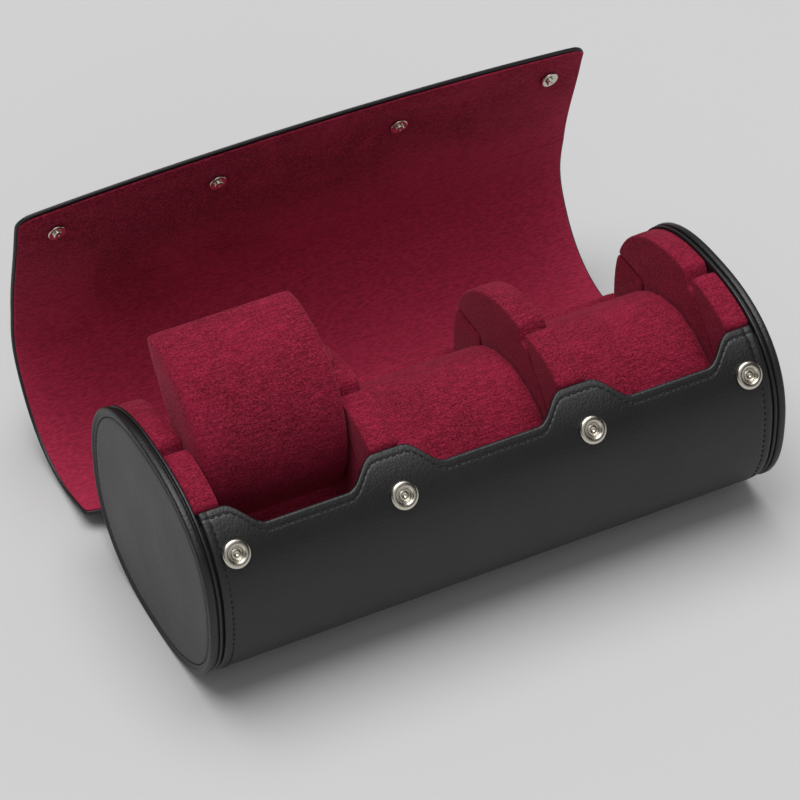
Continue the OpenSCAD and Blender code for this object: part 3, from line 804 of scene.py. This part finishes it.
cushion_section = np.concatenate([
    arc_of(edge_y, edge_z, CUSHION_EDGE_R, -90, edge_turn - 4, 12),
    arc_of(0, crown_z, cushion_r, edge_turn, 180 - edge_turn, 2),
    arc_of(-edge_y, edge_z, CUSHION_EDGE_R, 184 - edge_turn, 270, 12)]) + [CUSHION_BACK, 0]


def cushion_form(name, start, end):
    """The roll before it is stuffed: its outline run along the case with rounded ends."""
    length = end - start
    rounding = []
    for a in (90, 70, 50, 32, 15, 0):
        along = START_IN + SIDE_ROUND * (1 - math.sin(math.radians(a)))
        rounding.append((along, -START_IN - SIDE_ROUND * (1 - math.cos(math.radians(a)))))
    places = rounding + [(length * k / 8, -START_IN) for k in range(1, 8)]
    places += [(length - along, out) for along, out in rounding[::-1]]
    return extruded(name, respaced(cushion_section, 1.6), start, places, microsuede)


def stuffed(piece):
    """Blows the cover up like a stuffed one, with no point moving further than the cap."""
    remesh = piece.modifiers.new("even", "REMESH")
    remesh.mode, remesh.voxel_size, remesh.use_smooth_shade = "VOXEL", VOXEL, True
    bpy.context.view_layer.objects.active = piece
    bpy.ops.object.modifier_apply(modifier=remesh.name)
    before = np.array([v.co for v in piece.data.vertices], float)
    cloth = piece.modifiers.new("stuffing", "CLOTH")
    cloth.settings.use_pressure = True
    cloth.settings.uniform_pressure_force = PRESSURE
    cloth.settings.effector_weights.gravity = 0.0
    scene = bpy.context.scene
    for step in range(1, STUFFING_STEPS + 1):
        scene.frame_set(step)
    shown = piece.evaluated_get(bpy.context.evaluated_depsgraph_get())
    after = np.array([v.co for v in shown.data.vertices], float)
    piece.modifiers.remove(cloth)
    scene.frame_set(1)
    move = after - before
    far = np.linalg.norm(move, axis=1, keepdims=True)
    move *= np.minimum(1.0, SWELL_CAP / np.maximum(far, 1e-9))
    piece.data.vertices.foreach_set("co", (before + move).astype(np.float32).ravel())
    smooth = piece.modifiers.new("ease", "SMOOTH")
    smooth.factor, smooth.iterations = 0.5, 1
    bpy.ops.object.modifier_apply(modifier=smooth.name)
    finer = piece.modifiers.new("finer", "SUBSURF")
    finer.levels = finer.render_levels = 1
    bpy.ops.object.modifier_apply(modifier=finer.name)
    piece.data.polygons.foreach_set("use_smooth", [True] * len(piece.data.polygons))


def dented(piece, dents):
    """Presses shallow dents, each (x, y from the middle, radius, depth) in mm, into the top."""
    co = np.array([v.co for v in piece.data.vertices], float) * 1000
    for x, y, radius, depth in dents:
        near = np.exp(-(((co[:, 0] - x) ** 2 + (co[:, 1] - y) ** 2) / radius ** 2))
        top = co[:, 2] > AXIS_Z + 6
        co[:, 2] -= np.where(top, near * depth, 0)
    piece.data.vertices.foreach_set("co", (co / 1000).astype(np.float32).ravel())


CUSHION_DENTS = (
    ((-84, 10, 9, 0.5), (-60, -14, 8, 0.5), (-72, -2, 12, 0.4)),
    ((-19, 12, 6, 0.9), (-5, 17, 5, 0.8), (14, 2, 9, 0.4), (-12, -14, 10, 0.4)),
    ((56, 14, 8, 0.5), (80, 0, 10, 0.5), (66, -12, 9, 0.4)))

for number, (start, end) in enumerate(WELLS, 1):
    roll = cushion_form(f"cushion_roll_{number}", start + CUSHION_GAP, end - CUSHION_GAP)
    stuffed(roll)
    dented(roll, CUSHION_DENTS[number - 1])
    if number == 1:
        lean_back = Matrix.Translation(RAISE_PIVOT) @ Matrix.Rotation(math.radians(RAISE_ANGLE), 4, "X")
        roll.data.transform(lean_back @ Matrix.Translation(-RAISE_PIVOT))
    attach(roll, f"cushion_{number}")
    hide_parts(f"cushion_{number}_cover", f"cushion_{number}_core")

# ---- Ring snaps ----
# Four nickel-plated brass ring sockets are riveted through the tabs. A socket is a
# pressed ring with a coned mouth, and the rivet's head closes the bottom of its hole.

SNAP_XS = (-99.0, -36.4, 36.4, 99.0)
SNAP_ANGLE = 147.0                      # arc angle of the snaps' middles


def bright_nickel():
    """Nickel plate on brass, barrel polished: a warm white mirror, softened by fine scuffs,
    which are drawn 0.7 mm apart so that they show."""
    made, tree, place = new_finish("bright_nickel")
    scuffs = add(tree, "ShaderNodeTexNoise", {"Vector": place, "Scale": 1500.0, "Detail": 4.0})
    gloss = add(tree, "ShaderNodeMapRange", {"Value": scuffs, "To Min": 0.16, "To Max": 0.32})
    marks = add(tree, "ShaderNodeBump", {"Height": scuffs, "Strength": 0.12, "Distance": 0.0001})
    plate = add(tree, "ShaderNodeBsdfPrincipled", {"Base Color": linear("#d3cdc0"), "Metallic": 1.0,
                                                   "Roughness": gloss, "Normal": marks})
    add(tree, "ShaderNodeOutputMaterial", {"Surface": plate})
    return made


nickel = bright_nickel()


def turned_profile(profile, around):
    """Points and faces of a closed solid turned about Z from (radius, height) points."""
    points, faces = [], []
    for r, h in profile:
        for k in range(around):
            a = 2 * math.pi * k / around
            points.append((r * math.cos(a), r * math.sin(a), h))
    for j in range(len(profile)):
        this, other = j * around, (j + 1) % len(profile) * around
        for k in range(around):
            beside = (k + 1) % around
            faces.append((this + k, this + beside, other + beside, other + k))
    return np.array(points), faces


def rounded_profile(profile):
    """Cuts the corners of a closed profile, so that edges catch the light."""
    profile = np.array(profile, float)
    after = np.roll(profile, -1, axis=0)
    return np.stack([profile * 0.75 + after * 0.25, profile * 0.25 + after * 0.75], 1).reshape(-1, 2)


def four_turned(profile, around):
    """Points and faces of the same turned part at each snap, its own Z along the panel's
    outward normal, with heights counted from the oval."""
    shape, faces = turned_profile(profile, around)
    n, base = outward(SNAP_ANGLE), oval(SNAP_ANGLE)
    up, side = np.array([0.0, n[0], n[1]]), np.array([1.0, 0, 0])
    across = np.cross(up, side)
    one = shape[:, :1] * side + shape[:, 1:2] * across + shape[:, 2:] * up
    points = np.concatenate([one + [x, base[0], base[1]] for x in SNAP_XS])
    all_faces = [tuple(number * len(one) + i for i in f) for number in range(len(SNAP_XS)) for f in faces]
    return points, all_faces


# The socket is 10.2 mm across and 1.85 mm high, with a 4.4 mm hole.
SEAT_GAP = 0.02                         # sockets and rivets over the leather
socket_profile = rounded_profile([
    (1.65, 0.0), (4.8, 0.0), (5.1, 0.2), (5.1, 0.9), (4.95, 1.35), (4.6, 1.66), (4.1, 1.82), (3.6, 1.85),
    (3.2, 1.78), (2.95, 1.6), (2.8, 1.3), (2.62, 1.22), (2.4, 1.3), (2.25, 1.22), (2.2, 0.9),
    (2.2, 0.42), (1.65, 0.4)])
sockets = make_piece("ring_sockets", *four_turned(socket_profile + [0, SEAT_GAP], 64), nickel)
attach(sockets, "case")
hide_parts("snap_sockets")

rivet_profile = rounded_profile([
    (0.02, -3.0), (3.3, -3.0), (3.45, -2.7), (1.5, -2.65), (1.45, 0.38), (1.95, 0.42), (1.75, 0.62),
    (1.2, 0.78), (0.75, 0.72), (0.5, 0.5), (0.02, 0.42)])
rivets = make_piece("socket_rivets_turned", *four_turned(rivet_profile + [0, SEAT_GAP], 40), nickel)
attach(rivets, "case")
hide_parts("socket_rivets")

# ---- Flap ----
# The flap is a long sheet of cowhide on a thin board, which wraps over the top and snaps
# on the front. A strip of bare leather between the caps joins it to the body, and two
# soft creases in its board let it open behind the case. It is drawn in three lengths that
# meet edge to edge, one for each place where it bends.

FLAP_T = 3.3                            # leather, board and lining
FLAP_GAP, FRONT_GAP = 0.5, 2.85         # between the closed flap and the case: on top, and at the snaps
FLAP_HALF, STRIP_HALF = 114.0, 106.8    # half the flap's length, and its hinge strip's
GAP_FROM = 95.0                         # arc angle from which the gap grows
STRIP_ANGLE, BEND_ANGLE, CREASE_ANGLE, LIP_ANGLE = 20.0, 82.0, 130.0, 168.0
OPEN_BY = {"hinge": 102.0, "bend": -17.0, "crease": 45.0}
LIP_BOW, LIP_CORNER = 7.0, 6.0
LEATHER_DEPTH = 1.6                     # of the leather's bending line, under the outer face
MM_PER_DEGREE = 0.85                    # arc length of a degree at the lip


def gap_under(angle):
    """Clearance between the case and the closed flap, which grows towards the snaps."""
    return FLAP_GAP + (FRONT_GAP - FLAP_GAP) * np.clip((angle - GAP_FROM) / (SNAP_ANGLE - GAP_FROM), 0, 1)


def flap_out(angle):
    """How far the closed flap's outer face lies outside the oval."""
    angle = np.asarray(angle, float)
    share = np.clip((angle - HINGE_A) / STRIP_ANGLE, 0, 1)
    return (gap_under(angle) + FLAP_T) * share


def closed_flap(angle, depth):
    """Point (y, z) of the closed flap, a depth under its outer face."""
    return oval(angle, flap_out(angle) - depth)


PIVOTS = {"hinge": closed_flap(HINGE_A, 0), "bend": closed_flap(BEND_ANGLE, FLAP_T),
          "crease": closed_flap(CREASE_ANGLE, 0)}


def swung(yz, pivot, degrees):
    """Turns (y, z) points about a crease that runs along the case."""
    a = np.radians(-np.asarray(degrees, float))
    d = yz - pivot
    c, s = np.cos(a), np.sin(a)
    return np.stack([d[..., 0] * c - d[..., 1] * s, d[..., 0] * s + d[..., 1] * c], -1) + pivot


def fully_open(yz, part):
    """Where a point of the closed flap's stiff part 0, 1, 2 or 3 lies on the open flap."""
    if part >= 3:
        yz = swung(yz, PIVOTS["crease"], OPEN_BY["crease"])
    if part >= 2:
        yz = swung(yz, PIVOTS["bend"], OPEN_BY["bend"])
    if part >= 1:
        yz = swung(yz, PIVOTS["hinge"], OPEN_BY["hinge"])
    return yz


CREASES = {  # joint: (part before, part after, arc angles between which the leather bends)
    "hinge": (0, 1, HINGE_A, -22.0), "bend": (1, 2, 66.0, 98.0), "crease": (2, 3, 98.0, 147.0)}


def bend_line(joint):
    """The two points, in mm, between which a piece turns from one body to the next."""
    before, after, low, high = CREASES[joint]
    return (fully_open(closed_flap(low, LEATHER_DEPTH), before),
            fully_open(closed_flap(high, LEATHER_DEPTH), after))


def laid_open(yz, angle, joint):
    """The open place of closed points near one crease, each turned by a share that follows its place along
    the bend line.
    """
    before, after, low, high = CREASES[joint]
    start, end = bend_line(joint)
    line = end - start
    pivot = PIVOTS[joint]
    weight = np.clip((angle - low) / (high - low), 0, 1)
    for _ in range(60):
        place = fully_open(swung(yz, pivot, OPEN_BY[joint] * weight), before)
        t = np.clip(((place - start) @ line) / (line @ line), 0, 1)
        weight = 0.5 * weight + 0.5 * t * t * (3 - 2 * t)
    return fully_open(swung(yz, pivot, OPEN_BY[joint] * weight), before)


def line_turn(points):
    """Direction of a line at each of its points, in radians."""
    step = np.gradient(points, axis=0)
    return np.unwrap(np.arctan2(step[:, 1], step[:, 0]))


# The open lip lies in one smooth sweep from the front panel to the studs, and past them
# the leather keeps only half of the curve that it has when it is closed.
sweep_angles = np.arange(CREASES["crease"][2], 176.1, 0.5)
sweep_line = closed_flap(sweep_angles, FLAP_T / 2)
sweep_run = run_of(sweep_line)
at_studs = int(np.argmin(np.abs(sweep_angles - SNAP_ANGLE)))
panel_line, lip_line = fully_open(sweep_line, 2), fully_open(sweep_line, 3)
panel_turn, lip_turn = line_turn(panel_line)[0], line_turn(lip_line)
share = np.clip(sweep_run / sweep_run[at_studs], 0, 1)[:, None]
reach = np.linalg.norm(lip_line[at_studs] - panel_line[0])
leave = reach * np.array([math.cos(panel_turn), math.sin(panel_turn)])
arrive = reach * np.array([math.cos(lip_turn[at_studs]), math.sin(lip_turn[at_studs])])
sweep = ((2 * share ** 3 - 3 * share ** 2 + 1) * panel_line[0] + (share ** 3 - 2 * share ** 2 + share) * leave
         + (3 * share ** 2 - 2 * share ** 3) * lip_line[at_studs] + (share ** 3 - share ** 2) * arrive)
for k in range(at_studs + 1, len(sweep)):
    turn = lip_turn[at_studs] + 0.5 * (lip_turn[k] - lip_turn[at_studs])
    sweep[k] = sweep[k - 1] + (sweep_run[k] - sweep_run[k - 1]) * np.array([math.cos(turn), math.sin(turn)])
sweep_turn = line_turn(sweep)


def open_lip(angle, depth):
    """Point (y, z) of the open lip, at the closed flap's arc angle, a depth under its outer face."""
    turn = np.interp(angle, sweep_angles, sweep_turn)
    out = np.stack([np.sin(turn), -np.cos(turn)], -1)
    middle = np.stack([np.interp(angle, sweep_angles, sweep[:, i]) for i in (0, 1)], -1)
    return middle + out * (FLAP_T / 2 - np.asarray(depth, float))[..., None]


# How far each arc angle near the closed lip's end lies below it, down the front.
lip_angles = np.linspace(LIP_ANGLE - 25, LIP_ANGLE + 5, 600)
lip_normal = outward(LIP_ANGLE)
lip_down = np.array([-lip_normal[1], lip_normal[0]])
lip_along = (closed_flap(lip_angles, 0) - oval(LIP_ANGLE)) @ lip_down


def lip_end(x):
    """Arc angle at which the flap's lip ends, which is bowed and has round corners."""
    x = np.abs(np.asarray(x, float))
    straight = FLAP_HALF - LIP_CORNER
    turn_by = np.arcsin(np.clip((x - straight) / LIP_CORNER, 0, 1))
    rise = LIP_BOW * (x / FLAP_HALF) ** 2 + LIP_CORNER * (1 - np.cos(turn_by))
    return np.interp(-rise, lip_along, lip_angles)


def half_length(angle):
    """Half the flap's length: the hinge strip is narrower and passes between the caps."""
    share = np.clip((np.asarray(angle, float) - (HINGE_A + STRIP_ANGLE - 1.5)) / 5.0, 0, 1)
    return STRIP_HALF + (FLAP_HALF - STRIP_HALF) * np.sin(share * math.pi / 2)


# Places along the flap, closer together near both ends, as shares of half its length.
near_ends = 1 - np.array([0.0, 0.12, 0.3, 0.55, 0.85, 1.2, 1.8, 2.8, 4.5]) / FLAP_HALF
flap_share = np.concatenate([-near_ends, np.linspace(-1, 1, 61)[2:-2], near_ends[::-1]])
SPLITS = {"hinge": (HINGE_A, 22.0), "bend": (22.0, 98.0), "crease": (98.0, None)}
FLAP_STEP = 1.6                         # degrees of arc between two rows
EDGE_R = 0.72                           # the flap's turned edge is round
SKIVE_W, SKIVE_T = 7.0, 0.95            # the leather is pared thin towards its edge


def edge_fall_in(gap, radius, inset):
    """How far the outer face falls and the inner face rises this close to an edge."""
    d = np.clip((gap - inset) / radius, 0, 1)
    return radius * (1 - np.sqrt(1 - (1 - d) ** 2))


def flap_sheet(name, joint, top_depth, under_depth, inset, radius, finish):
    """One length of the flap between two splits, as a closed sheet with rounded free edges.
    Depths count from the outer face, and the inset keeps the sheet in from the free edges."""
    low, high = SPLITS[joint]
    count = int((LIP_ANGLE - low if high is None else high - low) / FLAP_STEP) + 1
    rows_top, rows_under = [], []
    for share in flap_share:
        x_lip = FLAP_HALF * share
        end = float(lip_end(x_lip)) if high is None else high
        t = np.linspace(low, end, count)
        if high is None:
            close = end - np.array([3.0, 2.2, 1.5, 0.9, 0.45, 0.15, 0.0]) / MM_PER_DEGREE
            t = np.concatenate([np.linspace(low, close[0], count)[:-1], close])
        half = half_length(t)
        x = share * half
        x = np.sign(x) * np.minimum(np.abs(x), half - inset)
        gap = half - np.abs(x)          # distance to the nearest free edge
        if high is None:
            gap = np.minimum(gap, (end - t) * MM_PER_DEGREE)
            t = np.minimum(t, end - inset / MM_PER_DEGREE)
        fall = edge_fall_in(gap, radius, inset)
        thinned = 1 - np.clip(gap / SKIVE_W, 0, 1)
        thinned = SKIVE_T * thinned ** 2 * (3 - 2 * thinned)
        over = top_depth - (thinned if top_depth > 0 else 0)
        below = under_depth - thinned
        mid = (over + below) / 2
        for rows, depth in ((rows_top, np.minimum(over + fall, mid - 0.01)),
                            (rows_under, np.maximum(below - fall, mid + 0.01))):
            if high is None:
                rows.append(section_points(x, open_lip(t, depth)))
            else:
                rows.append(section_points(x, laid_open(closed_flap(t, depth), t, joint)))
    made = layer(name, np.array(rows_top), np.array(rows_under), finish)
    start, end = bend_line(joint)
    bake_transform(made)
    return made


BOARD_UNDER = 2.35                      # depth of the board's inner face
for number, joint in enumerate(CREASES, 1):
    made = flap_sheet(f"flap_skin_{joint}", joint, 0.0, BOARD_UNDER, 0.0, EDGE_R, cowhide)
    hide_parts(f"flap_leather_{number}", f"flap_board_{number}")

# ---- Lining of the flap ----
# The inside of the flap is one sheet of the same microsuede, glued down to just short of
# the leather's edge. Its colour is painted darker on the upper half, which faces away from the lamp: painted
# shade.

LINING_TOP, LINING_UNDER = 2.3, 3.25    # depths of its glued face and its bare face
LINING_INSET, LINING_ROUND = 0.9, 0.45
lining_suede = wine_microsuede("flap_microsuede", 30.0, stroked_with_painted_light=True)
for number, joint in enumerate(CREASES, 1):
    made = flap_sheet(f"flap_suede_{joint}", joint, LINING_TOP, LINING_UNDER, LINING_INSET,
                      LINING_ROUND, lining_suede)
    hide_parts(f"flap_lining_{number}")
    low, high = SPLITS[joint]

# ---- Studs ----
# Each socket has its stud on the lip's lining: a flanged post with a swollen head, whose
# cap shows on the outside of the flap as a low dome.

# Heights of the lining and of the flap's outer face over the oval, along its normal there.
normal_share = float((oval(SNAP_ANGLE, 1.0) - oval(SNAP_ANGLE)) @ outward(SNAP_ANGLE))
lining_level = FRONT_GAP * normal_share
flap_level = lining_level + FLAP_T * normal_share
STUD_SIDES = 48


def on_lip(name, profile):
    """The same turned part at each snap of the open lip."""
    points, faces = four_turned(profile, STUD_SIDES)
    points[:, 1:] = fully_open(points[:, 1:], 3)
    made = make_piece(name, points, faces, nickel)
    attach(made, "flap_lip")
    return made


SUNK_IN_NAP = 0.45                      # the stud's flange lies this deep in the suede
seat = lining_level - SUNK_IN_NAP
stud_profile = [(r, seat - h) for r, h in rounded_profile([
    (0.02, -0.2), (3.35, -0.2), (3.4, 0.42), (3.1, 0.62), (2.5, 0.66), (2.0, 0.6), (1.55, 0.64), (1.4, 0.8),
    (1.66, 1.0), (1.72, 1.25), (1.5, 1.52), (1.0, 1.66), (0.02, 1.68)])]
studs = on_lip("snap_studs_turned", stud_profile)
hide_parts("snap_studs")
cap_base = flap_level + 0.02
stud_cap_profile = rounded_profile([
    (0.02, seat + 0.05), (1.2, seat + 0.05), (1.2, cap_base), (4.8, cap_base), (5.0, cap_base + 0.25),
    (4.85, cap_base + 0.6), (4.1, cap_base + 1.0), (2.9, cap_base + 1.28), (1.4, cap_base + 1.39),
    (0.02, cap_base + 1.4)])
stud_caps = on_lip("snap_caps_turned", stud_cap_profile)
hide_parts("stud_caps")
